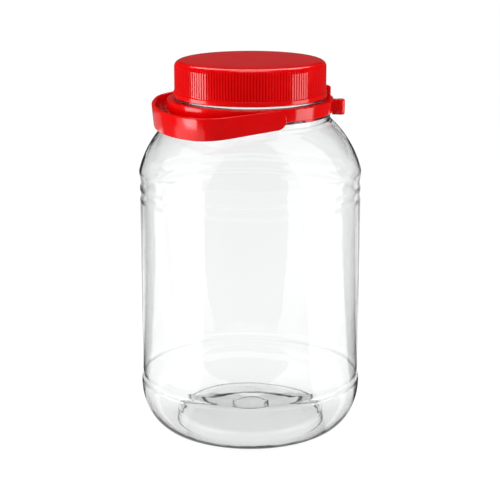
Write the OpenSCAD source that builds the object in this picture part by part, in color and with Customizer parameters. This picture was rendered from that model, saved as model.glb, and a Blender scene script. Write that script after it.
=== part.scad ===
// Clear wide-mouth storage jar with a ribbed screw cap and a bail handle on a neck collar.
// Millimetres, +Z up. The origin is the centre of the standing ring, on the surface it stands on.
// The grip hangs towards -X and the collar's lug points towards +X.

/* [Base] */
// Outer radius of the flat standing ring
stand_r = 59.5; // [50:0.5:66]
// Width of the flat standing ring
stand_w = 4; // [2:0.5:6]
// Rise of the push-up in the middle of the base
push_up = 8; // [4:0.5:14]
// Radius of the sloping panel on top of the push-up
push_panel_r = 42; // [30:1:46]
// Rise of the push-up at the edge of that panel
push_edge = 5.5; // [2:0.5:8]
// Radius of the round gate mark in the middle of the base
gate_r = 14; // [8:0.5:20]
// Rise of the gate mark above the panel
gate_rise = 1.6; // [0.5:0.1:3]
// Thickness of the base
base_wall = 1.6; // [1:0.1:3]

/* [Jar body] */
// Wall thickness of the blown body
wall = 0.8; // [0.6:0.1:1.6]
// Largest radius, at the heel
heel_r = 85.9; // [84:0.1:95]
// Height of the rounded heel
heel_h = 37.5; // [28:0.5:48]
// Height of the straight band above the heel
heel_band = 1; // [0.5:0.5:10]
// Radius of the straight label panel
panel_r = 85; // [80:0.1:90]
// Height of the straight label panel
panel_h = 134.5; // [90:1:180]
// Depth of the grooves that frame the label panel
groove_depth = 0.7; // [0.3:0.1:1.5]
// Height taken by each side of a groove
groove_h = 4.6; // [3:0.2:8]
// How far the shoulder's lower edge stands out past the label panel
bulge = 0.4; // [0:0.1:2]
// Radius of the arc along the shoulder
shoulder_arc = 80; // [50:1:120]
// Height of the shoulder, from its lower edge to the neck step
shoulder_h = 38.5; // [30:0.5:50]

/* [Neck] */
// How far the step that carries the collar lies inside the collar's rim
step_in = 2.5; // [1.7:0.1:4]
// Height of the step above the shoulder
step_h = 7; // [5:0.1:9]
// How far the shoulder's top stands out past the step
step_root = 1.5; // [1:0.1:4]
// How far the threaded neck lies inside the throat that the collar turns on
neck_in = 2.2; // [1:0.1:5]
// Wall thickness of the neck
neck_wall = 2.2; // [1.6:0.1:3]
// How far the support bead under the cap stands out past the throat
bead_out = 2; // [1:0.1:2.8]
// Thickness of the support bead
bead_h = 1.3; // [0.8:0.1:2]

/* [Screw cap] */
// Wall thickness of the cap's skirt, at its rounded top edge
skirt_wall = 2.45; // [1.6:0.05:3]
// Height of the cap
cap_h = 27.5; // [22:0.1:34]
// Thickness of the cap's top
cap_top = 2.2; // [1.4:0.1:3]
// Radius of the rounded top edge
cap_round = 5; // [1:0.1:6]
// Height of the smooth band at the bottom of the skirt
band_h = 3.6; // [2:0.2:6]
// How far the smooth band stands out past the top edge
band_out = 0.7; // [0:0.05:1]
// Number of grip ribs
rib_count = 160; // [120:10:240]
// Depth of the grip ribs
rib_depth = 0.35; // [0.2:0.05:0.7]
// How far the crests of the ribs lie inside the top edge
rib_inset = 0.1; // [0.1:0.05:0.4]

/* [Cap liner] */
// Thickness of the foam wad
liner_t = 1.3; // [0.8:0.1:3]
// Gap between the wad's edge and the skirt
liner_gap = 0.5; // [0.3:0.1:2]

/* [Neck collar] */
// Outer radius of the collar, which sets the size of the neck and the cap
collar_r = 63.3; // [56:0.1:68]
// Width of the collar, from its bore to its rim
collar_w = 7.4; // [6:0.1:9]
// Height of the collar
collar_h = 9.5; // [8.5:0.1:12]
// Wall thickness of the collar's rim
collar_wall = 2; // [1.4:0.1:2.2]
// Thickness of the collar's two inner flanges
flange_t = 1.8; // [1:0.1:2.5]
// Chamfer of the collar's outer edges
collar_chamfer = 0.6; // [0.2:0.1:1]
// Radius of the pivot bosses
boss_r = 5.4; // [4.5:0.1:6]
// How far the pivot bosses stand out past the rim
boss_out = 1.1; // [0.6:0.1:2]
// Direction of the first snap tab, in degrees from +X
tab_first = -45; // [-55:1:-35]
// Number of snap tabs under the edge
tab_count = 4; // [2:1:6]
// Width of each snap tab, along the rim
tab_w = 10; // [5:0.5:16]
// How far the snap tabs hang below the rim
tab_drop = 1.8; // [0.8:0.1:2.4]
// Thickness of the snap tabs
tab_t = 1.4; // [0.8:0.1:2]

/* [Lug and finger tab] */
// Direction of the lug, in degrees from +X
lug_angle = -3; // [-20:1:8]
// Radius of the round barrel at the lug's end
barrel_r = 3.4; // [2:0.1:4.5]
// How far the middle of the barrel stands out past the rim
barrel_reach = 5.2; // [4:0.1:6]
// How far the barrel hangs below the rim
barrel_drop = 1.2; // [0:0.1:2]
// Thickness of the web behind the barrel
web_t = 4; // [2:0.2:6]
// Direction of the finger tab, in degrees from +X
finger_angle = 14; // [12:1:30]
// Width of the finger tab
finger_w = 9; // [5:0.5:12]
// Thickness of the finger tab
finger_t = 2; // [1.2:0.1:2.4]
// Rise of the finger tab above the rim
finger_h = 7; // [3:0.5:9]

/* [Carry handle] */
// Direction that the grip hangs in, in degrees from +X
handle_angle = 197; // [190:1:210]
// How far the grip hangs below level, in degrees
handle_tilt = 5.5; // [0:0.5:6]
// Height of the pivots above the collar's lower edge
pivot_rise = 2.6; // [2:0.1:5]
// Thickness of the strap
strap_t = 2.8; // [2:0.1:4]
// Half height of the strap at its round ends
end_r = 7.2; // [5:0.1:8]
// Half height of the strap at the grip
grip_half = 8.8; // [5:0.1:9]
// Length of the straight arms, from the pivot
arm_len = 36.5; // [30:0.5:60]
// Outer radius of the two corners
corner_r = 27; // [15:0.5:40]
// How far each corner turns before the grip, in degrees
corner_turn = 62; // [55:1:75]
// Radius of the pegs that the handle swings on
peg_r = 3; // [2:0.1:4]
// Length of the pegs
peg_len = 2.6; // [1.5:0.1:2.6]

/* [Clearances] */
// Gap between pieces that turn past each other
run_gap = 0.3; // [0.2:0.05:0.4]
// Gap round the handle's pegs
peg_fit = 0.08; // [0.02:0.01:0.1]
// Room for the screw thread between neck and cap
thread_room = 1.9; // [1.2:0.1:2.2]

/* [Hidden] */
$fn = 128;
// Steps along each eased, rounded or arched stretch of an outline
ease_steps = 5;
round_steps = 12;
arc_steps = 18;
// Overlap of fused details
bite = 0.5;

// Radii of the jar's outline
stand_in = stand_r - stand_w;
groove_r = panel_r - groove_depth;
bulge_r = panel_r + bulge;
step_r = collar_r - step_in;
root_r = step_r + step_root;
collar_bore = collar_r - collar_w;
throat_r = collar_bore - run_gap;
bead_r = throat_r + bead_out;
neck_r = throat_r - neck_in;
bore_r = neck_r - neck_wall;

// Heights of the jar's outline, from the standing ring up
heel_top = heel_h + heel_band;
panel_bottom = heel_top + 2 * groove_h;
panel_top = panel_bottom + panel_h;
shoulder_bottom = panel_top + 5 * groove_h;
shoulder_top = shoulder_bottom + shoulder_h;
step_top = shoulder_top + step_h;
collar_bottom = step_top + run_gap;
collar_top = collar_bottom + collar_h;
bead_bottom = collar_top + run_gap;
bead_top = bead_bottom + bead_h;
cap_bottom = bead_top + run_gap;
cap_roof = cap_bottom + cap_h;
liner_top = cap_roof - cap_top;
rim = liner_top - liner_t;

// Skirt of the cap
cap_bore_r = neck_r + thread_room;
cap_r = cap_bore_r + skirt_wall;
cap_band_r = cap_r + band_out;
rib_crest = cap_r - rib_inset;
rib_valley = rib_crest - rib_depth;

// Collar and pivots
boss_face = collar_r + boss_out;
pivot_z = collar_bottom + pivot_rise;
tab_in = step_r + run_gap;
lug_r = collar_r + barrel_reach;

// Plan of the strap: arms at a steady distance from the middle, then corner arcs, then one grip arc
strap_in = boss_face + run_gap;
strap_out = strap_in + strap_t;
corner_w = strap_out - corner_r;
grip_r = corner_r + corner_w / cos(corner_turn);
grip_u = arm_len - (grip_r - corner_r) * sin(corner_turn);
loop_reach = grip_u + grip_r;

// Points from one place to another along an S with level ends, leaving out the first
function ease(p, q) =
    [for (i = [1 : ease_steps]) let(t = i / ease_steps)
        [p[0] + (q[0] - p[0]) * (1 - cos(180 * t)) / 2, p[1] + (q[1] - p[1]) * t]];

// The same S turned on its side, with its ends level in the other direction
function ease_across(p, q) = [for (v = ease([p[1], p[0]], [q[1], q[0]])) [v[1], v[0]]];

// Points along a curve that leaves p and reaches q in line with the corner c, leaving out the first
function bend(p, c, q) =
    [for (i = [1 : ease_steps]) let(t = i / ease_steps)
        (1 - t) * (1 - t) * p + 2 * t * (1 - t) * c + t * t * q];

// Centre of an arc of radius r from p up to q that bows away from the axis
function bow_centre(p, q, r) =
    let(d = q - p, half = norm(d) / 2, h = sqrt(r * r - half * half))
    (p + q) / 2 - h * [d[1], -d[0]] / norm(d);

// Shoulder line at a depth t inside the outer skin
shoulder_p = [bulge_r, shoulder_bottom];
shoulder_q = [root_r, shoulder_top];
shoulder_c = bow_centre(shoulder_p, shoulder_q, shoulder_arc);
shoulder_a = atan2(shoulder_p[1] - shoulder_c[1], shoulder_p[0] - shoulder_c[0]);
shoulder_b = atan2(shoulder_q[1] - shoulder_c[1], shoulder_q[0] - shoulder_c[0]);
function shoulder(t) =
    [for (i = [0 : arc_steps]) let(a = shoulder_a + (shoulder_b - shoulder_a) * i / arc_steps)
        shoulder_c + (shoulder_arc - t) * [cos(a), sin(a)]];

// Heel line at a depth t inside the outer skin, over a floor that is f thick
function heel(t, f) =
    [for (i = [0 : round_steps]) let(a = 90 * i / round_steps)
        [stand_r + (heel_r - t - stand_r) * sin(a), f + (heel_h - f) * (1 - cos(a))]];

// Heel, grooves, panel and shoulder at a depth t inside the outer skin
function body_line(t, f) =
    let(
        band = [heel_r - t, heel_top],
        low = [groove_r - t, heel_top + groove_h],
        panel_a = [panel_r - t, panel_bottom],
        panel_b = [panel_r - t, panel_top],
        groove_a = [groove_r - t, panel_top + groove_h],
        between = [panel_r - t, panel_top + 2 * groove_h],
        groove_b = [groove_r - t, panel_top + 3 * groove_h],
        arch = shoulder(t),
        lip = arch[0] + groove_h * [sin(shoulder_a), -cos(shoulder_a)])
    concat(
        heel(t, f), [band], ease(band, low), ease(low, panel_a), [panel_b],
        ease(panel_b, groove_a), ease(groove_a, between), ease(between, groove_b),
        bend(groove_b, lip, arch[0]), arch);

// Underside of the base from the middle out, raised by f for the inside floor
function base_line(f) =
    let(
        gate_z = push_up + gate_rise + f,
        panel = [push_panel_r, push_edge + f],
        foot = [stand_in, f])
    concat(
        [[0, gate_z], [gate_r - gate_rise, gate_z], [gate_r, push_up + f], panel],
        ease_across(panel, foot));

// Turns the wall between two lines once round the axis
module turned_wall(outside, inside) {
    back = [for (i = [len(inside) - 1 : -1 : 0]) inside[i]];
    color("azure", 0.35)
    rotate_extrude()
    polygon(concat(outside, back));
}

// Blown part of the jar, up to the top of the shoulder
module jar() {
    turned_wall(
        concat(base_line(0), body_line(0, 0)),
        concat(base_line(base_wall), body_line(wall, base_wall)));
}

// Neck of the same moulding, which meets the blown part across the wall at the top of the shoulder
module jar_neck() {
    step_foot = [step_r, shoulder_top + 2 * step_root];
    turned_wall(
        concat(
            [shoulder_q], bend(shoulder_q, [step_r, shoulder_top + step_root], step_foot),
            [[step_r, step_top], [throat_r, step_top], [throat_r, bead_bottom], [bead_r, bead_bottom],
             [bead_r, bead_top], [neck_r, bead_top], [neck_r, rim]]),
        [shoulder(wall)[arc_steps], [step_r - neck_wall, shoulder_top + step_root],
         [step_r - neck_wall, step_top - neck_wall], [throat_r - neck_wall, step_top - wall],
         [throat_r - neck_wall, bead_bottom], [bore_r, bead_top], [bore_r, rim]]);
}

module screw_cap() {
    rib_low = cap_bottom + band_h;
    rib_high = cap_roof - cap_round;
    edge = [for (i = [0 : round_steps]) let(a = 90 * i / round_steps)
        [cap_r - cap_round * (1 - cos(a)), rib_high + cap_round * sin(a)]];
    zigzag = [for (i = [0 : 2 * rib_count - 1])
        let(a = 180 * i / rib_count, r = i % 2 == 0 ? rib_crest : rib_valley)
        r * [cos(a), sin(a)]];
    color("red")
    difference() {
        union() {
            translate([0, 0, cap_bottom])
            cylinder(r = cap_band_r, h = band_h);
            translate([0, 0, rib_low - bite])
            linear_extrude(rib_high - rib_low + 2 * bite)
            polygon(zigzag);
            rotate_extrude()
            polygon(concat([[0, rib_high]], edge, [[0, cap_roof]]));
        }
        translate([0, 0, cap_bottom - bite])
        cylinder(r = cap_bore_r, h = liner_top - cap_bottom + bite);
    }
}

module cap_liner() {
    color("white")
    translate([0, 0, rim])
    cylinder(r = cap_bore_r - liner_gap, h = liner_t);
}

// Places a child, drawn along +X, at one direction round the collar
module around(angle) {
    rotate([0, 0, angle])
    children();
}

// Lies a child cylinder, drawn along +Z, along the pivots' line
module along_pivot(start) {
    translate([0, 0, pivot_z])
    rotate([0, 90, 0])
    translate([0, 0, start])
    children();
}

module neck_collar() {
    pivot_angles = [handle_angle + 90, handle_angle - 90];
    rim_in = collar_r - collar_wall;
    section = [
        [collar_bore, collar_bottom], [collar_r - collar_chamfer, collar_bottom],
        [collar_r, collar_bottom + collar_chamfer], [collar_r, collar_top - collar_chamfer],
        [collar_r - collar_chamfer, collar_top], [collar_bore, collar_top],
        [collar_bore, collar_top - flange_t], [rim_in, collar_top - flange_t],
        [rim_in, collar_bottom + flange_t], [collar_bore, collar_bottom + flange_t]];
    tab_angle = tab_w / tab_in * 180 / PI;
    color("red")
    difference() {
        union() {
            rotate_extrude()
            polygon(section);
            for (a = pivot_angles)
                around(a)
                along_pivot(tab_in)
                cylinder(r = boss_r, h = boss_face - tab_in);
            for (i = [0 : tab_count - 1])
                around(tab_first + 360 / tab_count * i - tab_angle / 2)
                rotate_extrude(angle = tab_angle)
                translate([tab_in, collar_bottom - tab_drop])
                square([tab_t, tab_drop + bite]);
            around(lug_angle) {
                translate([collar_r - bite, -web_t / 2, collar_bottom])
                cube([barrel_reach + bite, web_t, collar_h]);
                translate([lug_r, 0, collar_bottom - barrel_drop])
                cylinder(r = barrel_r, h = collar_h + barrel_drop);
            }
            around(finger_angle)
            translate([collar_r - collar_chamfer - finger_t, -finger_w / 2, collar_top - bite])
            cube([finger_t, finger_w, finger_h + bite]);
        }
        for (a = pivot_angles)
            around(a)
            along_pivot(strap_in - peg_len - peg_fit)
            cylinder(r = peg_r + peg_fit, h = peg_len);
    }
}

// Filled outline of the loop at a depth t inside its outer face, open at the back by the given length
module loop_fill(t, back) {
    far = 2 * grip_r;
    half = 90 - corner_turn;
    translate([-back, t - strap_out])
    square([back + arm_len, 2 * (strap_out - t)]);
    for (side = [-1, 1])
        translate([arm_len, side * corner_w])
        circle(r = corner_r - t);
    translate([grip_u, 0])
    intersection() {
        circle(r = grip_r - t);
        polygon([[0, 0], far * [cos(half), -sin(half)], far * [cos(half), sin(half)]]);
    }
}

module strap_plan() {
    difference() {
        loop_fill(0, end_r);
        loop_fill(strap_t, end_r + bite);
    }
}

module strap_side() {
    circle(r = end_r);
    polygon([[0, -end_r], [loop_reach + bite, -grip_half], [loop_reach + bite, grip_half], [0, end_r]]);
}

module carry_handle() {
    color("red")
    translate([0, 0, pivot_z])
    rotate([0, handle_tilt, handle_angle]) {
        intersection() {
            translate([0, 0, -grip_half])
            linear_extrude(2 * grip_half)
            strap_plan();
            rotate([90, 0, 0])
            translate([0, 0, -strap_out])
            linear_extrude(2 * strap_out)
            strap_side();
        }
        for (side = [-1, 1])
            rotate([90 * side, 0, 0])
            translate([0, 0, strap_in - peg_len])
            cylinder(r = peg_r, h = peg_len + bite);
    }
}

jar();
jar_neck();
screw_cap();
cap_liner();
neck_collar();
carry_handle();
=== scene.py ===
import math

import bmesh
import bpy
from mathutils import Matrix, Vector


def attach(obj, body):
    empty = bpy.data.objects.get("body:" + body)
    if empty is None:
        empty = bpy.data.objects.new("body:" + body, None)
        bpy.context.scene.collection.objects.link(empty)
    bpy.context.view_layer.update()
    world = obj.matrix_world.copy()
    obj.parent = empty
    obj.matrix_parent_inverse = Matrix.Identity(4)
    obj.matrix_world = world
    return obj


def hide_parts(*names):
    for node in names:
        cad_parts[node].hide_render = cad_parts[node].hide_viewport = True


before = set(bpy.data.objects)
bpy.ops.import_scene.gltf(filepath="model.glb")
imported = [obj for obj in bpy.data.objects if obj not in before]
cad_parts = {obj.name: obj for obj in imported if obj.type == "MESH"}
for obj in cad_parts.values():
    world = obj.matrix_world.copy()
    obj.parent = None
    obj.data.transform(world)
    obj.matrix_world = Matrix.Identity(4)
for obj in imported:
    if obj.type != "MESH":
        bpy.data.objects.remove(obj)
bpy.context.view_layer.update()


# Jar
# One blow-moulded bottle of clear PET: a thick injection-moulded neck with a screw thread, and a thin body
# that was blown out against the mould, so its wall is slightly uneven. The step and the bead of the neck
# hold the collar between them. Outlines are pairs of radius and height in millimetres.
mm = 0.001
SEAM = 0.001
CREASE = math.radians(30)
WALL, SHOULDER_GROWTH = 0.9, 1.3
BASE_WALL, PUSH_SIDE = 1.6, 0.75
STAND_R, STAND_IN = 59.5, 57.2
PUSH_R, PUSH_EDGE, PUSH_TOP = 56.6, 9.8, 12
BASE_GATE_R, BASE_GATE_FOOT, BASE_GATE_H = 12, 14.4, 1.4
HEEL_R, HEEL_H, HEEL_BAND = 85.9, 37.5, 1
PANEL_R, PANEL_LOW, PANEL_HIGH, PANEL_ROWS = 85, 47.7, 182.2, 24
GROOVE_R, GROOVE_H = 84.3, 4.6
SHOULDER_LOW, SHOULDER_HIGH = Vector((85.4, 205.2)), Vector((62.3, 243.7))
SHOULDER_ARC = 80
STEP_R, STEP_FOOT, STEP_TOP = 60.8, 245.4, 250.7
STEP_WALL, STEP_ROOF = 1.8, 1.6
THROAT_R, THROAT_WALL = 55.6, 2.2
FLARE_LOW, FLARE_TOP = 254.4, 257.4
BEAD_R, BEAD_LOW, BEAD_TOP = 57.6, 260.8, 262.1
NECK_R, BORE_R, RIM, NECK_ROWS = 53.4, 51.2, 286.4, 50
THREAD_LEAD = 6
NECK_THREAD = {"depth": 1.2, "crest": 0.5, "flank": 0.9, "low": 267, "high": 281, "phase": 0}
WALL_SWAY, SWAY_FADE, SWAY_STOP = 0.22, 15, 4
# Each wave has its share, its number round the jar, its millimetres of height per radian, and its start.
SWAY_WAVES = ((0.45, 5, 26, 0.4), (0.3, 3, -19, 1.3), (0.12, 13, 33, 0))
JAR_STEPS = 208


def ease(start, end, steps=8):
    """An S from one point to another, level in radius at both ends, without its first point."""
    return [(start[0] + (end[0] - start[0]) * (1 - math.cos(math.pi * i / steps)) / 2,
             start[1] + (end[1] - start[1]) * i / steps) for i in range(1, steps + 1)]


def rounded(corners, steps=5):
    """A line through corners of (radius, height, reach), each eased over its reach on both sides."""
    line = []
    for i, (r, z, reach) in enumerate(corners):
        here = Vector((r, z))
        if reach == 0:
            line.append(here)
            continue
        start = here + (Vector(corners[i - 1][:2]) - here).normalized() * reach
        end = here + (Vector(corners[(i + 1) % len(corners)][:2]) - here).normalized() * reach
        for k in range(steps + 1):
            t = k / steps
            line.append(start * (1 - t) ** 2 + here * 2 * t * (1 - t) + end * t ** 2)
    return line


def shoulder(depth, steps=36):
    """The shoulder's arc at a depth inside the outer skin, which grows from its lower edge up."""
    across = SHOULDER_HIGH - SHOULDER_LOW
    rise = math.sqrt(SHOULDER_ARC ** 2 - across.length_squared / 4)
    inward = Vector((-across.y, across.x)).normalized()
    centre = (SHOULDER_LOW + SHOULDER_HIGH) / 2 + inward * rise
    first, last = (math.atan2(p.y - centre.y, p.x - centre.x) for p in (SHOULDER_LOW, SHOULDER_HIGH))
    line = []
    for i in range(steps + 1):
        turn = first + (last - first) * i / steps
        reach = SHOULDER_ARC - depth * (1 + SHOULDER_GROWTH * i / steps)
        line.append(centre + reach * Vector((math.cos(turn), math.sin(turn))))
    return line


def heel(depth, floor, steps=28):
    """The quarter ellipse from the standing ring up to the heel band."""
    width, height = HEEL_R - depth - STAND_R, HEEL_H - floor
    turns = [math.pi / 2 * i / steps for i in range(steps + 1)]
    return [(STAND_R + width * math.sin(turn), floor + height * (1 - math.cos(turn))) for turn in turns]


def skin(depth, floor):
    """Base, heel, label panel and shoulder of the jar at a depth inside the outer skin."""
    side = PUSH_SIDE * floor
    gate = PUSH_TOP + BASE_GATE_H + floor
    base = rounded([
        (0, gate, 0), (BASE_GATE_R, gate, 1.2), (BASE_GATE_FOOT, PUSH_TOP + floor, 1.2),
        (PUSH_R + side, PUSH_EDGE + floor, 3), (STAND_IN + side, floor, 1), (STAND_R, floor, 0)])
    arch = shoulder(depth)
    groove_low = HEEL_H + HEEL_BAND
    knots = [(HEEL_R - depth, groove_low), (GROOVE_R - depth, groove_low + GROOVE_H),
             (PANEL_R - depth, PANEL_LOW)]
    tops = [(PANEL_R - depth, PANEL_HIGH), (GROOVE_R - depth, PANEL_HIGH + GROOVE_H),
            (PANEL_R - depth, PANEL_HIGH + 2 * GROOVE_H), (GROOVE_R - depth, PANEL_HIGH + 3 * GROOVE_H),
            tuple(arch[0])]
    panel = [(PANEL_R - depth, PANEL_LOW + (PANEL_HIGH - PANEL_LOW) * i / PANEL_ROWS)
             for i in range(1, PANEL_ROWS + 1)]
    line = base + heel(depth, floor)[1:] + [knots[0]]
    for start, end in zip(knots, knots[1:]):
        line += ease(start, end)
    line += panel
    for start, end in zip(tops, tops[1:]):
        line += ease(start, end)
    return line + arch[1:]


def close_up(bm):
    """Merges the seams of a spun shape and turns its faces outwards."""
    bmesh.ops.remove_doubles(bm, verts=bm.verts, dist=SEAM * mm)
    bmesh.ops.recalc_face_normals(bm, faces=bm.faces)


def lathe(outline, steps):
    """An outline turned once round the jar's axis: a sixteenth is spun, then doubled to the full turn."""
    bm = bmesh.new()
    line = [bm.verts.new((r * mm, 0, z * mm)) for r, z in outline]
    edges = [bm.edges.new(pair) for pair in zip(line, line[1:])]
    bmesh.ops.spin(bm, geom=line + edges, cent=(0, 0, 0), axis=(0, 0, 1), angle=math.pi / 8,
                   steps=steps // 16)
    for turn in (math.pi / 8, math.pi / 4, math.pi / 2, math.pi):
        copy = bmesh.ops.duplicate(bm, geom=[*bm.verts, *bm.edges, *bm.faces])["geom"]
        bmesh.ops.rotate(bm, verts=[v for v in copy if isinstance(v, bmesh.types.BMVert)], cent=(0, 0, 0),
                         matrix=Matrix.Rotation(turn, 3, "Z"))
    close_up(bm)
    return bm


def ridge(turn, z, depth, crest, flank, low, high, phase):
    """Height of a right-handed screw thread at a turn round the axis and a height."""
    off = (z / THREAD_LEAD - turn - phase + 0.5) % 1 - 0.5
    middle = z - off * THREAD_LEAD
    fade = min(1, max(0, min(middle - low, high - middle)))
    slope = min(1, max(0, (crest + flank - abs(off) * THREAD_LEAD) / flank))
    return depth * slope * slope * (3 - 2 * slope) * fade


def raise_thread(bm, radius, low, high, thread):
    """Moves the points of a round wall between two heights out by the thread that runs there, or in."""
    for v in bm.verts:
        r, z = v.co.xy.length / mm, v.co.z / mm
        if low <= z <= high and abs(r - radius) < 0.01:
            v.co.xy *= (r + ridge(math.atan2(v.co.y, v.co.x) / (2 * math.pi), z, **thread)) / r


def sway(angle, z):
    """How much the blown wall thickens and thins, round the jar and up it."""
    return sum(share * math.sin(lobes * angle + z / pitch + start)
               for share, lobes, pitch, start in SWAY_WAVES)


def smooth(mesh):
    """Shades a mesh smooth except at edges sharper than a crease."""
    mesh.shade_smooth()
    mesh.set_sharp_from_angle(angle=CREASE)


def as_piece(bm, name, material):
    """An object of the finished mesh."""
    mesh = bpy.data.meshes.new(name)
    bm.to_mesh(mesh)
    bm.free()
    smooth(mesh)
    mesh.materials.append(material)
    piece = bpy.data.objects.new(name, mesh)
    bpy.context.scene.collection.objects.link(piece)
    return piece


def wire(tree, kind, sockets=(), **settings):
    """A new shader node with its settings, its plain socket values and its links."""
    made = tree.nodes.new("ShaderNode" + kind)
    for key, value in settings.items():
        setattr(made, key, value)
    for key, value in dict(sockets).items():
        if isinstance(value, bpy.types.NodeSocket):
            tree.links.new(value, made.inputs[key])
        else:
            made.inputs[key].default_value = value
    return made


def blank_material(name):
    """A new material without nodes, and its node tree."""
    material = bpy.data.materials.new(name)
    material.use_nodes = True
    material.node_tree.nodes.clear()
    return material, material.node_tree


def clear_pet():
    """Clear PET: faint sink waves from cooling, and a trace of haze where it was stretched most."""
    material, tree = blank_material("clear_pet")
    place = wire(tree, "TexCoord").outputs["Object"]
    waves = wire(tree, "TexNoise", {"Vector": place, "Scale": 45, "Detail": 1.5})
    haze = wire(tree, "TexNoise", {"Vector": place, "Scale": 20, "Detail": 4})
    rough = wire(tree, "MapRange", {"Value": haze.outputs["Fac"], "From Min": 0.55, "From Max": 0.85,
                                    "To Min": 0, "To Max": 0.03})
    tint = wire(tree, "ValToRGB", {"Fac": haze.outputs["Fac"]})
    tint.color_ramp.elements[0].color = (0.985, 0.99, 0.99, 1)
    tint.color_ramp.elements[1].color = (0.995, 0.998, 1, 1)
    bump = wire(tree, "Bump", {"Height": waves.outputs["Fac"], "Strength": 0.06, "Distance": 0.004})
    pet = wire(tree, "BsdfPrincipled", {
        "Base Color": tint.outputs["Color"], "Roughness": rough.outputs["Result"], "IOR": 1.575,
        "Transmission Weight": 1, "Normal": bump.outputs["Normal"]})
    wire(tree, "OutputMaterial", {"Surface": pet.outputs["BSDF"]})
    return material


neck_low, neck_high = BEAD_TOP + 2, RIM - 1
neck_outside = rounded([
    (SHOULDER_HIGH.x, SHOULDER_HIGH.y, 0), (STEP_R, STEP_FOOT, 1.4), (STEP_R, STEP_TOP, 0.4),
    (THROAT_R, STEP_TOP, 0.4), (THROAT_R, BEAD_LOW, 0.3), (BEAD_R, BEAD_LOW, 0.3), (BEAD_R, BEAD_TOP, 0.5),
    (NECK_R, BEAD_TOP, 0.5), (NECK_R, neck_low, 0)])
neck_wall = [(NECK_R, neck_low + (neck_high - neck_low) * i / NECK_ROWS) for i in range(1, NECK_ROWS + 1)]
throat_in, step_in = THROAT_R - THROAT_WALL, STEP_R - STEP_WALL
step_under = STEP_TOP - STEP_ROOF
lip = rounded([
    (NECK_R, neck_high, 0), (NECK_R, RIM, 0.7), (BORE_R, RIM, 0.7), (BORE_R, FLARE_TOP, 1),
    (throat_in, FLARE_LOW, 1), (throat_in, step_under, 0.8), (step_in, step_under, 0.8),
    (step_in, STEP_FOOT - 0.2, 0)])
jar_outline = skin(0, 0) + neck_outside[1:] + neck_wall + lip[1:] + skin(WALL, BASE_WALL)[::-1]
jar_mesh = lathe(jar_outline, JAR_STEPS)
raise_thread(jar_mesh, NECK_R, neck_low, neck_high, NECK_THREAD)
jar_mesh.normal_update()
sway_top = SHOULDER_HIGH.y - SWAY_STOP
for v in jar_mesh.verts:
    r, z = v.co.xy.length / mm, v.co.z / mm
    if v.normal.xy.dot(v.co.xy) < 0 and HEEL_H < z < sway_top:
        fade = min(1, (z - HEEL_H) / SWAY_FADE)
        v.co.xy *= 1 + WALL_SWAY * sway(math.atan2(v.co.y, v.co.x), z) * fade / r
jar = as_piece(jar_mesh, "clear_jar", clear_pet())
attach(jar, "jar_body")
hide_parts("jar", "jar_neck")


# Neck collar
# A glossy red polypropylene ring, injection moulded with a hollow inner side and snapped over the bead. It
# turns on the throat, and carries the two pivot bosses of the handle, four snap tabs below its edge, a lug
# with a round barrel end, and an upright finger tab.
COLLAR_R, COLLAR_BORE = 63.3, 55.9
COLLAR_LOW, COLLAR_TOP = 251, 260.5
COLLAR_WALL, COLLAR_FLANGE = 2, 1.8
COLLAR_STEPS = 192
OVERLAP = 1
PIVOT_Z = 253.6
HANDLE_ANGLE = 197
BOSS_R, BOSS_FACE, BOSS_EDGE = 5.4, 64.4, 0.3
PEG_R, PEG_FIT, PEG_LEN = 3, 0.08, 2.6
STRAP_GAP = 0.3
STRAP_IN = BOSS_FACE + STRAP_GAP
TAB_ANGLES = (-45, 45, 135, 225)
TAB_IN, TAB_T, TAB_W, TAB_DROP = 61.1, 1.4, 10, 1.8
TAB_ROOT, TAB_CHAMFER = 0.5, 0.5
LUG_ANGLE, LUG_R, WEB_T, WEB_EDGE = -3, 68.5, 4, 0.5
BARREL_R, BARREL_LOW, BARREL_TOP, BARREL_EDGE = 3.4, 248.2, 260, 1
FINGER_ANGLE, FINGER_W, FINGER_T, FINGER_H = 14, 9, 2, 7
FINGER_BACK, FINGER_EDGE = 0.6, 0.6
RED_DEEP, RED_FULL = (0.78, 0.0006, 0.0012, 1), (0.88, 0.0009, 0.0020, 1)
FLOW_LOW, FLOW_HIGH = 0.3, 0.7
GLOSSY, SATIN, MATT = 0.08, 0.14, 0.2
MATT_FADE = 0.4


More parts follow.
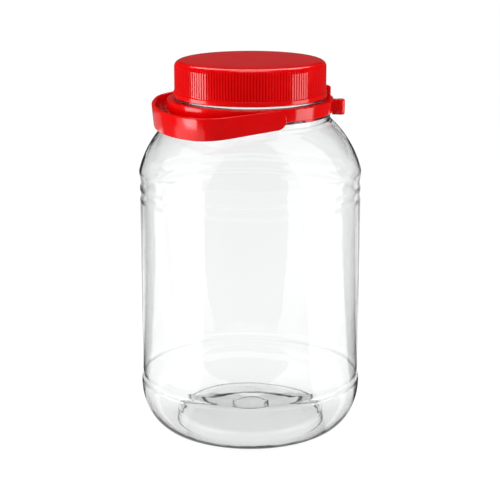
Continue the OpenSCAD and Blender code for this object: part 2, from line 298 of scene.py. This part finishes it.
def red_plastic(name, matt_above=None):
    """Glossy red polypropylene: a fine moulded skin and slow flow marks, and matted above a height."""
    material, tree = blank_material(name)
    place = wire(tree, "TexCoord").outputs["Object"]
    flow = wire(tree, "TexNoise", {"Vector": place, "Scale": 34, "Detail": 3, "Distortion": 0.6})
    grain = wire(tree, "TexNoise", {"Vector": place, "Scale": 1500, "Detail": 2})
    colour = wire(tree, "ValToRGB", {"Fac": flow.outputs["Fac"]})
    colour.color_ramp.elements[0].position = FLOW_LOW
    colour.color_ramp.elements[0].color = RED_DEEP
    colour.color_ramp.elements[1].position = FLOW_HIGH
    colour.color_ramp.elements[1].color = RED_FULL
    rough = wire(tree, "MapRange", {
        "Value": flow.outputs["Fac"], "From Min": FLOW_LOW, "From Max": FLOW_HIGH,
        "To Min": GLOSSY, "To Max": SATIN}).outputs["Result"]
    if matt_above is not None:
        height = wire(tree, "SeparateXYZ", {"Vector": place}).outputs["Z"]
        rough = wire(tree, "MapRange", {
            "Value": height, "From Min": (matt_above - MATT_FADE) * mm, "From Max": matt_above * mm,
            "To Min": rough, "To Max": MATT}).outputs["Result"]
    bump = wire(tree, "Bump", {"Height": grain.outputs["Fac"], "Strength": 0.05, "Distance": 0.0003})
    plastic = wire(tree, "BsdfPrincipled", {"Base Color": colour.outputs["Color"], "Roughness": rough,
                                            "IOR": 1.49, "Normal": bump.outputs["Normal"]})
    wire(tree, "OutputMaterial", {"Surface": plastic.outputs["BSDF"]})
    return material


def turned(angle):
    """Turns a shape drawn along +X to one direction round the jar's axis."""
    return Matrix.Rotation(math.radians(angle), 4, "Z")


def end_rims(bm):
    """The edges round the many-sided end faces of a shape."""
    return [e for e in bm.edges if any(len(f.verts) > 4 for f in e.link_faces)]


def soften(bm, edges, width, segments=4):
    """Rounds edges of a shape over a width on both sides."""
    bmesh.ops.bevel(bm, geom=edges, offset=width * mm, segments=segments, profile=0.5, affect="EDGES",
                    material=-1)


def rod(radius, low, high, edge, place):
    """A round rod along +Z between two heights, with softened ends, moved to its place."""
    bm = bmesh.new()
    bmesh.ops.create_cone(bm, cap_ends=True, segments=48, radius1=radius * mm, radius2=radius * mm,
                          depth=(high - low) * mm)
    if edge > 0:
        soften(bm, end_rims(bm), edge)
    bmesh.ops.translate(bm, verts=bm.verts, vec=(0, 0, (low + high) / 2 * mm))
    bmesh.ops.transform(bm, matrix=place, verts=bm.verts)
    return bm


def block(low, high, edge, place):
    """A block between two corners with softened edges, moved to its place."""
    bm = bmesh.new()
    bmesh.ops.create_cube(bm, size=1)
    low, high = Vector(low) * mm, Vector(high) * mm
    bmesh.ops.scale(bm, vec=high - low, verts=bm.verts)
    bmesh.ops.translate(bm, vec=(low + high) / 2, verts=bm.verts)
    soften(bm, bm.edges, edge)
    bmesh.ops.transform(bm, matrix=place, verts=bm.verts)
    return bm


def along_pivot(side):
    """Lies a rod drawn along +Z along the pivots' line, on one side of the neck."""
    lie = Matrix.Translation((0, 0, PIVOT_Z * mm)) @ Matrix.Rotation(math.pi / 2, 4, "Y")
    return turned(HANDLE_ANGLE + 90 * side) @ lie


def fuse(piece, shape, operation):
    """Joins a shape to a piece, or cuts it away, and keeps one closed mesh."""
    tool = as_piece(shape, "tool", piece.data.materials[0])
    change = piece.modifiers.new("change", "BOOLEAN")
    change.operation = operation
    change.solver = "EXACT"
    change.object = tool
    bpy.context.view_layer.update()
    mesh = bpy.data.meshes.new_from_object(piece.evaluated_get(bpy.context.evaluated_depsgraph_get()))
    piece.modifiers.clear()
    piece.data = mesh
    bpy.data.objects.remove(tool)


def snap_tab(angle):
    """One tab below the collar's edge: a short arc of its rim."""
    span = TAB_W / TAB_IN
    root, foot = COLLAR_LOW + TAB_ROOT, COLLAR_LOW - TAB_DROP
    outline = [(TAB_IN, root), (TAB_IN + TAB_T, root), (TAB_IN + TAB_T, foot + TAB_CHAMFER),
               (TAB_IN + TAB_T - TAB_CHAMFER, foot), (TAB_IN, foot)]
    bm = bmesh.new()
    face = bm.faces.new([bm.verts.new((r * mm, 0, z * mm)) for r, z in outline])
    bmesh.ops.rotate(bm, verts=bm.verts, cent=(0, 0, 0), matrix=Matrix.Rotation(-span / 2, 3, "Z"))
    bmesh.ops.spin(bm, geom=[face, *face.edges, *face.verts], cent=(0, 0, 0), axis=(0, 0, 1), angle=span,
                   steps=8)
    bmesh.ops.contextual_create(bm, geom=[v for v in bm.verts if v.is_boundary])
    close_up(bm)
    bmesh.ops.transform(bm, matrix=turned(angle), verts=bm.verts)
    return bm


rim_in = COLLAR_R - COLLAR_WALL
flange_low, flange_top = COLLAR_LOW + COLLAR_FLANGE, COLLAR_TOP - COLLAR_FLANGE
collar_section = rounded([
    (COLLAR_BORE, COLLAR_LOW, 0.2), (COLLAR_R, COLLAR_LOW, 0.7), (COLLAR_R, COLLAR_TOP, 0.7),
    (COLLAR_BORE, COLLAR_TOP, 0.2), (COLLAR_BORE, flange_top, 0.2), (rim_in, flange_top, 0.4),
    (rim_in, flange_low, 0.4), (COLLAR_BORE, flange_low, 0.2)])
collar_mesh = lathe(collar_section + collar_section[:1], COLLAR_STEPS)
collar = as_piece(collar_mesh, "neck_collar_ring", red_plastic("collar_red"))
for side in (-1, 1):
    fuse(collar, rod(BOSS_R, TAB_IN, BOSS_FACE, BOSS_EDGE, along_pivot(side)), "UNION")
for angle in TAB_ANGLES:
    fuse(collar, snap_tab(angle), "UNION")
web_low, web_high = (COLLAR_R - OVERLAP, -WEB_T / 2, BARREL_LOW), (LUG_R, WEB_T / 2, BARREL_TOP)
fuse(collar, block(web_low, web_high, WEB_EDGE, turned(LUG_ANGLE)), "UNION")
barrel_place = turned(LUG_ANGLE) @ Matrix.Translation((LUG_R * mm, 0, 0))
fuse(collar, rod(BARREL_R, BARREL_LOW, BARREL_TOP, BARREL_EDGE, barrel_place), "UNION")
finger_out = COLLAR_R - FINGER_BACK
finger_low = (finger_out - FINGER_T, -FINGER_W / 2, COLLAR_TOP - OVERLAP)
finger_high = (finger_out, FINGER_W / 2, COLLAR_TOP + FINGER_H)
fuse(collar, block(finger_low, finger_high, FINGER_EDGE, turned(FINGER_ANGLE)), "UNION")
socket_end = STRAP_IN - PEG_LEN - PEG_FIT
for side in (-1, 1):
    socket = rod(PEG_R + PEG_FIT, socket_end, BOSS_FACE + OVERLAP, 0, along_pivot(side))
    fuse(collar, socket, "DIFFERENCE")
smooth(collar.data)
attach(collar, "collar_body")
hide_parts("neck_collar")


# Carry handle
# A flat red polypropylene strap with softly rounded edges, moulded in the shape of a wide loop. Its two
# round ends each have a moulded peg that clicks into a socket of the collar, so that the loop swings over
# the cap.
STRAP_T = 2.8
STRAP_EDGE = 0.9
END_R, END_STEPS, GRIP_HALF = 7.2, 20, 8.8
ARM_LEN, CORNER_R, CORNER_TURN = 36.5, 27, math.radians(62)
HANDLE_TILT = 5.5
STRAP_STEP = 2.5
PEG_ROOT, PEG_EDGE = 0.5, 0.2
strap_mid = STRAP_IN + STRAP_T / 2
corner_w = STRAP_IN + STRAP_T - CORNER_R
grip_r = CORNER_R + corner_w / math.cos(CORNER_TURN)
grip_u = ARM_LEN - (grip_r - CORNER_R) * math.sin(CORNER_TURN)
corner_len = (CORNER_R - STRAP_T / 2) * CORNER_TURN
grip_len = (grip_r - STRAP_T / 2) * (math.pi - 2 * CORNER_TURN)
strap_half = ARM_LEN + corner_len + grip_len / 2


def wrapped(along, out):
    """Plan position of a point of the flat strap, by its length off the middle and depth off the core."""
    side = 1 if along > 0 else -1
    run = strap_half - abs(along)
    if run < ARM_LEN:
        return run, side * (strap_mid + out)
    if run < ARM_LEN + corner_len:
        turn = (run - ARM_LEN) / (CORNER_R - STRAP_T / 2)
        reach = CORNER_R - STRAP_T / 2 + out
        return ARM_LEN + reach * math.sin(turn), side * (corner_w + reach * math.cos(turn))
    reach = grip_r - STRAP_T / 2 + out
    turn = abs(along) / (grip_r - STRAP_T / 2)
    return grip_u + reach * math.cos(turn), side * reach * math.sin(turn)


def strap_height(along):
    """Half height of the strap, which grows evenly from the pivots to the middle of the grip."""
    return END_R + (GRIP_HALF - END_R) * wrapped(along, 0)[0] / (grip_u + grip_r)


def strap_blank():
    """The strap laid flat: its outline, its thickness, its rounded edges and cuts for bending."""
    bm = bmesh.new()
    turns = [math.pi * i / END_STEPS for i in range(END_STEPS + 1)]
    near = [(-strap_half - END_R * math.sin(turn), -END_R * math.cos(turn)) for turn in turns]
    far = [(strap_half + END_R * math.sin(turn), END_R * math.cos(turn)) for turn in turns]
    knots = [-strap_half + ARM_LEN, -grip_len / 2, 0, grip_len / 2, strap_half - ARM_LEN]
    outline = (near + [(x, strap_height(x)) for x in knots]
               + far + [(x, -strap_height(x)) for x in knots[::-1]])
    face = bm.faces.new([bm.verts.new((x * mm, -STRAP_T / 2 * mm, z * mm)) for x, z in outline])
    made = bmesh.ops.extrude_face_region(bm, geom=[face])
    bmesh.ops.translate(bm, verts=[v for v in made["geom"] if isinstance(v, bmesh.types.BMVert)],
                        vec=(0, STRAP_T * mm, 0))
    bmesh.ops.recalc_face_normals(bm, faces=bm.faces)
    soften(bm, end_rims(bm), STRAP_EDGE, 5)
    cuts = round(2 * strap_half / STRAP_STEP)
    for i in range(1, cuts):
        cut = (2 * i / cuts - 1) * strap_half
        bmesh.ops.bisect_plane(bm, geom=[*bm.verts, *bm.edges, *bm.faces], plane_co=(cut * mm, 0, 0),
                               plane_no=(1, 0, 0), dist=SEAM * mm)
    return bm


handle_place = (Matrix.Translation((0, 0, PIVOT_Z * mm)) @ turned(HANDLE_ANGLE)
                @ Matrix.Rotation(math.radians(HANDLE_TILT), 4, "Y"))
strap_mesh = strap_blank()
for v in strap_mesh.verts:
    v.co.xy = Vector(wrapped(v.co.x / mm, v.co.y / mm)) * mm
bmesh.ops.recalc_face_normals(strap_mesh, faces=strap_mesh.faces)
bmesh.ops.transform(strap_mesh, matrix=handle_place, verts=strap_mesh.verts)
handle = as_piece(strap_mesh, "carry_strap", red_plastic("strap_red"))
for side in (-1, 1):
    lie = Matrix.Rotation(side * math.pi / 2, 4, "X")
    fuse(handle, rod(PEG_R, STRAP_IN - PEG_LEN, STRAP_IN + PEG_ROOT, PEG_EDGE, handle_place @ lie), "UNION")
smooth(handle.data)
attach(handle, "handle_body")
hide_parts("carry_handle")


# Cap liner
# A die-cut disc of white polyethylene foam that lies loose in the top of the cap and seals the jar's rim.
# The knife leaves a slightly rolled edge, and the rim presses a shallow ring into it.
LINER_R, LINER_T = 54.8, 1.3
LINER_PRESS, PRESS_SLOPE = 0.12, 0.6
LINER_STEPS = 128
FOAM_PALE, FOAM_PIT_SHADE = (0.80, 0.80, 0.78, 1), (0.66, 0.66, 0.64, 1)


def foam():
    """White closed-cell foam: small round cells in a matt skin, with painted shade in the hollows of the
    cells.
    """
    material, tree = blank_material("liner_foam")
    place = wire(tree, "TexCoord").outputs["Object"]
    cells = wire(tree, "TexVoronoi", {"Vector": place, "Scale": 1600})
    # Painted shade: the colour darkens towards each cell's middle, where the bump sinks into a hollow.
    colour = wire(tree, "ValToRGB", {"Fac": cells.outputs["Distance"]})
    colour.color_ramp.elements[0].color = FOAM_PIT_SHADE
    colour.color_ramp.elements[1].color = FOAM_PALE
    bump = wire(tree, "Bump", {"Height": cells.outputs["Distance"], "Strength": 0.25, "Distance": 0.0002})
    soft = wire(tree, "BsdfPrincipled", {"Base Color": colour.outputs["Color"], "Roughness": 0.7,
                                         "IOR": 1.45, "Normal": bump.outputs["Normal"]})
    wire(tree, "OutputMaterial", {"Surface": soft.outputs["BSDF"]})
    return material


pressed, liner_top = RIM + LINER_PRESS, RIM + LINER_T
liner_outline = rounded([
    (0, RIM, 0), (BORE_R - PRESS_SLOPE, RIM, 0.4), (BORE_R, pressed, 0.3), (NECK_R, pressed, 0.3),
    (NECK_R + PRESS_SLOPE, RIM, 0.4), (LINER_R, RIM, 0.4), (LINER_R, liner_top, 0.3), (0, liner_top, 0)])
liner = as_piece(lathe(liner_outline, LINER_STEPS), "foam_liner", foam())
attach(liner, "liner_body")
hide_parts("cap_liner")


# Screw cap
# A red polypropylene cap, injection moulded: a ribbed grip that runs up onto the rounded top edge, a smooth
# band at the bottom, and a thread inside that follows the neck's. The slightly crowned top is finely matted
# and shows the gate in its middle.
CAP_LOW, CAP_ROOF, CAP_TOP_T = 262.4, 289.9, 2.2
CAP_BORE, BORE_ROWS = 55.3, 30
EDGE_W, EDGE_H, EDGE_STEPS = 6, 5, 14
BAND_R, BAND_H = 58.45, 3.6
RIBS, RIB_CREST, RIB_DEPTH, RIB_TOP, RIB_RUN_OUT = 160, 57.65, 0.7, 288, 0.8
GROOVE_HALF = 0.22
CROWN_R, CROWN_DROP = 34, 0.5
CROWN_RINGS = (48, 44, 40, 37, CROWN_R)
CAP_THREAD = {"depth": -1.3, "crest": 0.4, "flank": 0.7, "low": 266, "high": 280, "phase": 0.5}
GATE_R, GATE_DEPTH, GATE_SLOPE, GATE_TIP_R, GATE_RING = 1.8, 0.25, 0.6, 0.6, 1.4
MATT_DEPTH = 0.3

rib_low, edge_low, edge_top = CAP_LOW + BAND_H, CAP_ROOF - EDGE_H, CAP_ROOF - CROWN_DROP
cap_under, gate_floor = CAP_ROOF - CAP_TOP_T, CAP_ROOF - GATE_DEPTH
bore_low, bore_high = CAP_LOW + 1, cap_under - 0.5


def cut_ribs(bm):
    """Cuts the grip: of three lines of points per rib one sinks to a V groove and two close up to it."""
    for v in bm.verts:
        r, z = v.co.xy.length / mm, v.co.z / mm
        if not (rib_low + 0.2 < z < RIB_TOP and CAP_BORE + 0.5 < r < RIB_CREST + 0.01):
            continue
        run_out = min(1, (RIB_TOP - z) / RIB_RUN_OUT)
        place = RIBS * math.atan2(v.co.y, v.co.x) / (2 * math.pi)
        off = place - round(place)
        if abs(off) < 0.1:
            v.co.xy *= (r - RIB_DEPTH * run_out) / r
        else:
            close = (math.copysign(GROOVE_HALF, off) - off) * run_out * 2 * math.pi / RIBS
            v.co.rotate(Matrix.Rotation(close, 3, "Z"))


bore_line = [(CAP_BORE, bore_high - (bore_high - bore_low) * i / BORE_ROWS) for i in range(BORE_ROWS + 1)]
edge_turns = [math.pi / 2 * i / EDGE_STEPS for i in range(EDGE_STEPS + 1)]
edge_line = [(RIB_CREST - EDGE_W * (1 - math.cos(turn)), edge_low + (edge_top - edge_low) * math.sin(turn))
             for turn in edge_turns]
crown_line = [(r, CAP_ROOF - CROWN_DROP * ((r - CROWN_R) / (RIB_CREST - EDGE_W - CROWN_R)) ** 2)
              for r in CROWN_RINGS]
gate_line = [(GATE_R + GATE_RING, CAP_ROOF), (GATE_R + GATE_SLOPE, CAP_ROOF), (GATE_R, gate_floor),
             (GATE_TIP_R, gate_floor), (0, CAP_ROOF - GATE_DEPTH / 2)]
cap_outline = (
    [(0, cap_under), (CAP_BORE - 0.5, cap_under)] + bore_line
    + rounded([(CAP_BORE, CAP_LOW + 0.6, 0), (CAP_BORE, CAP_LOW, 0.3), (BAND_R, CAP_LOW, 0.5),
               (BAND_R, rib_low, 0.6), (RIB_CREST + 0.02, rib_low, 0)], 4)
    + [(RIB_CREST, rib_low + 0.3), (RIB_CREST, (rib_low + edge_low) / 2)]
    + edge_line + crown_line + gate_line)
cap_mesh = lathe(cap_outline, RIBS * 3)
cut_ribs(cap_mesh)
raise_thread(cap_mesh, CAP_BORE, bore_low, bore_high, CAP_THREAD)
cap = as_piece(cap_mesh, "ribbed_cap", red_plastic("cap_red", matt_above=CAP_ROOF - MATT_DEPTH))
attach(cap, "cap_body")
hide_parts("screw_cap")


# Floor
# A plain white table that runs out of sight on all sides. Seen directly or straight through the clear wall
# it is white with the shadow of the jar. Mirrored, it glows as the studio would look in that direction,
# painted light that stands in for the lamps and the room: levels are pairs of a bearing from the front, in
# degrees, and the brightness from there on.
FLOOR_HALF = 14
FLOOR_LIT = 0.15
FLOOR_GLOW_NEAR, FLOOR_GLOW_FAR = 0.94, 0.92
FLOOR_NEAR, FLOOR_FAR = 0.2, 1.6
FLOOR_BOUNCE = 0.45
# The outsides of the jar's wall, of its shoulder with the strap, and of the cap mirror the table farther
# and farther out, each with levels of its own. WALL_LEVELS are for what is mirrored inside the clear wall.
# These levels are painted reflections: bright bands where a lamp would be mirrored, dim ones for the room.
TABLE_LEVELS = ((-180, 0.8), (-147, 1.5), (-141, 1), (-135, 0.05), (-112, 0.9), (-45, 0.05), (55, 0.9),
                (106, 0.05), (135, 1), (141, 1.5), (147, 0.8))
SHOULDER_LEVELS = ((-180, 0.3), (-135, 0.05), (-108, 0.9), (-90, 0.6), (-70, 0.3), (-50, 0.05), (135, 0.8))
CAP_LEVELS = ((-180, 0.05),)
SHOULDER_FROM, CAP_FROM = 0.93, 1.4
WALL_LEVELS = ((-180, 0.1), (-141, 0.5), (-114, 1.35), (-45, 0.2), (55, 1.35), (107, 0.05), (116, 0.5),
               (133, 0.1))
# Mirrored, the table under the jar and near it is painted darker: a painted shadow of the jar.
UNDER_SHADOW_LEVEL, UNDER_R = 0.5, 0.075
SHADE_OUT, SHADE_LEAST = 0.28, 0.5


def bounced(tree, depth):
    """1 for a ray that has met a surface of this kind before, 0 for other rays."""
    path = wire(tree, "LightPath").outputs
    return wire(tree, "Math", {0: path[depth], 1: 0.5}, operation="GREATER_THAN").outputs["Value"]


def seen_plainly(tree):
    """1 for a ray straight from the eye or through clear plastic, 0 for one that lights or is mirrored."""
    path = wire(tree, "LightPath").outputs
    direct = wire(tree, "Math", {0: path["Is Camera Ray"], 1: path["Is Transmission Ray"]},
                  operation="MAXIMUM")
    turned_off = wire(tree, "Math", {0: bounced(tree, "Diffuse Depth"), 1: bounced(tree, "Glossy Depth")},
                      operation="MAXIMUM")
    return wire(tree, "Math", {0: direct.outputs["Value"], 1: turned_off.outputs["Value"]},
                operation="GREATER_THAN").outputs["Value"]


def by_bearing(tree, vector, levels):
    """The brightness in the direction of a vector from the jar."""
    parts = wire(tree, "SeparateXYZ", {"Vector": vector}).outputs
    front = wire(tree, "Math", {0: parts["Y"], 1: -1.0}, operation="MULTIPLY").outputs["Value"]
    bearing = wire(tree, "Math", {0: parts["X"], 1: front}, operation="ARCTAN2").outputs["Value"]
    around = wire(tree, "MapRange", {"Value": bearing, "From Min": -math.pi, "From Max": math.pi})
    ramp = wire(tree, "ValToRGB", {"Fac": around.outputs["Result"]})
    stops = ramp.color_ramp.elements
    ramp.color_ramp.interpolation = "CONSTANT"
    stops.remove(stops[1])
    for i, (start, level) in enumerate(levels):
        stop = stops[0] if i == 0 else stops.new(start / 360 + 0.5)
        stop.color = (level, level, level, 1)
    return ramp.outputs["Color"]


def as_seen(tree, white, fill, outside, inside):
    """The brightness of the surroundings for rays that see them plainly or take light from them, or that
    were mirrored on the outside of a piece or inside a clear wall."""
    mirrored = wire(tree, "MapRange", {"Value": bounced(tree, "Transmission Depth"), "To Min": outside,
                                       "To Max": inside})
    unseen = wire(tree, "MapRange", {"Value": bounced(tree, "Glossy Depth"), "To Min": fill,
                                     "To Max": mirrored.outputs["Result"]})
    return wire(tree, "MapRange", {"Value": seen_plainly(tree), "To Min": unseen.outputs["Result"],
                                   "To Max": white}).outputs["Result"]


def white_table():
    """A white table that takes a soft shadow; its mirror image has a painted shadow, darker towards the
    jar.
    """
    material, tree = blank_material("white_table")
    place = wire(tree, "TexCoord").outputs["Object"]
    away = wire(tree, "VectorMath", {0: place}, operation="LENGTH").outputs["Value"]
    glow = wire(tree, "MapRange", {"Value": away, "From Min": FLOOR_NEAR, "From Max": FLOOR_FAR,
                                   "To Min": FLOOR_GLOW_NEAR, "To Max": FLOOR_GLOW_FAR})
    # Painted shadow: mirrored, the table is painted darker towards the jar, and at a set level under it.
    painted_shadow_fade = wire(tree, "MapRange", {"Value": away, "From Min": UNDER_R, "From Max": SHADE_OUT,
                                         "To Min": SHADE_LEAST}).outputs["Result"]
    past_jar = wire(tree, "Math", {0: away, 1: UNDER_R}, operation="GREATER_THAN").outputs["Value"]
    bright = by_bearing(tree, place, TABLE_LEVELS)
    for start, levels in ((SHOULDER_FROM, SHOULDER_LEVELS), (CAP_FROM, CAP_LEVELS)):
        past = wire(tree, "Math", {0: away, 1: start}, operation="GREATER_THAN").outputs["Value"]
        bright = wire(tree, "MapRange", {"Value": past, "To Min": bright,
                                         "To Max": by_bearing(tree, place, levels)}).outputs["Result"]
    mirrored = []
    for level in (bright, by_bearing(tree, place, WALL_LEVELS)):
        shaded = wire(tree, "Math", {0: level, 1: painted_shadow_fade}, operation="MULTIPLY")
        mirrored.append(wire(tree, "MapRange", {"Value": past_jar, "To Min": UNDER_SHADOW_LEVEL,
                                                "To Max": shaded.outputs["Value"]}).outputs["Result"])
    shade = wire(tree, "BsdfDiffuse", {"Color": (FLOOR_LIT, FLOOR_LIT, FLOOR_LIT, 1)})
    strength = as_seen(tree, glow.outputs["Result"], FLOOR_BOUNCE, *mirrored)
    light = wire(tree, "Emission", {"Strength": strength})
    both = wire(tree, "AddShader", {0: shade.outputs["BSDF"], 1: light.outputs["Emission"]})
    wire(tree, "OutputMaterial", {"Surface": both.outputs["Shader"]})
    return material


floor_mesh = bmesh.new()
bmesh.ops.create_grid(floor_mesh, x_segments=1, y_segments=1, size=FLOOR_HALF)
floor = as_piece(floor_mesh, "floor", white_table())


# Studio light
# Two tall soft boxes light from the sides, the left one stronger, and a low bright card before each gives
# the upright reflections on the red plastic but none on the cap's top. A box behind and above only glints
# on the cap's edge, one overhead lights the top, and a pale room fills the shadows.
SIDE_BOX, SIDE_CARD, BACK_BOX, TOP_BOX = (0.48, 1.0), (0.48, 0.28), (1.2, 0.5), (0.5, 0.5)
SIDE_BOXES = ((-82, 5), (78, 3.4))
SIDE_DISTANCE, SIDE_HEIGHT, CARD_SHARE = 0.95, 0.47, 0.97
BACK_DISTANCE, BACK_RISE, BACK_GLARE = 1.2, math.radians(50), 3
TOP_HEIGHT, TOP_GLARE = 1.3, 3
SEEN_WHITE = 1
ROOM_FILL, ROOM_LOW, ROOM_HIGH = 0.6, 0.08, 0.02
ROOM_FADE_LOW, ROOM_FADE_HIGH = 0.15, 0.22
ROOM_STRIP = 0.2


def soft_box(size, glare, place, aim):
    """An even rectangular lamp, turned to a height on the jar's axis, that the eye doesn't see."""
    lamp = bpy.data.lights.new("soft_box", "AREA")
    lamp.shape = "RECTANGLE"
    lamp.size, lamp.size_y = size
    lamp.energy = glare * math.pi * size[0] * size[1]
    box = bpy.data.objects.new("soft_box", lamp)
    bpy.context.scene.collection.objects.link(box)
    box.location = place
    box.rotation_euler = (Vector((0, 0, aim)) - Vector(place)).to_track_quat("-Z", "Y").to_euler()
    box.visible_camera = False
    box.visible_transmission = False
    return box


card_height = SIDE_CARD[1] / 2
for bearing, glare in SIDE_BOXES:
    turn = math.radians(bearing)
    x, y = math.sin(turn) * SIDE_DISTANCE, -math.cos(turn) * SIDE_DISTANCE
    tall_box = soft_box(SIDE_BOX, glare, (x, y, SIDE_HEIGHT), SIDE_HEIGHT)
    tall_box.visible_glossy = False
    low_card = soft_box(SIDE_CARD, glare, (x * CARD_SHARE, y * CARD_SHARE, card_height), card_height)
    low_card.visible_diffuse = False
back_height = CAP_ROOF * mm + math.sin(BACK_RISE) * BACK_DISTANCE
back_place = (0, math.cos(BACK_RISE) * BACK_DISTANCE, back_height)
glint = soft_box(BACK_BOX, BACK_GLARE, back_place, CAP_ROOF * mm)
glint.visible_diffuse = False
soft_box(TOP_BOX, TOP_GLARE, (0, 0, TOP_HEIGHT), 0)

world = bpy.data.worlds.new("studio")
bpy.context.scene.world = world
world.use_nodes = True
room = world.node_tree
room.nodes.clear()
towards = wire(room, "TexCoord").outputs["Generated"]
rise = wire(room, "SeparateXYZ", {"Vector": towards}).outputs["Z"]
walls = wire(room, "MapRange", {"Value": rise, "From Min": ROOM_FADE_LOW, "From Max": ROOM_FADE_HIGH,
                                "To Min": ROOM_LOW, "To Max": ROOM_HIGH}).outputs["Result"]
above = wire(room, "Math", {0: rise, 1: ROOM_STRIP}, operation="GREATER_THAN").outputs["Value"]
through = wire(room, "MapRange", {"Value": above, "To Min": SEEN_WHITE,
                                  "To Max": by_bearing(room, towards, WALL_LEVELS)}).outputs["Result"]
level = as_seen(room, SEEN_WHITE, ROOM_FILL, walls, through)
sky = wire(room, "Background", {"Color": (1, 1, 1, 1), "Strength": level})
wire(room, "OutputWorld", {"Surface": sky.outputs["Background"]})


# Camera
# A long lens a little above the cap, looking slightly down. Its place, pitch and length are fitted to the
# outlines of the cap and the body.
CAMERA_PLACE = (-0.0002, -1.150, 0.4427)
CAMERA_PITCH = 14.72
SENSOR, LENS = 36, 109.7
eye = bpy.data.cameras.new("eye")
eye.sensor_width = SENSOR
eye.lens = LENS
camera = bpy.data.objects.new("eye", eye)
camera.location = CAMERA_PLACE
camera.rotation_euler = (math.radians(90 - CAMERA_PITCH), 0, 0)
bpy.context.scene.collection.objects.link(camera)
bpy.context.scene.camera = camera
bpy.context.scene.view_settings.view_transform = "Standard"
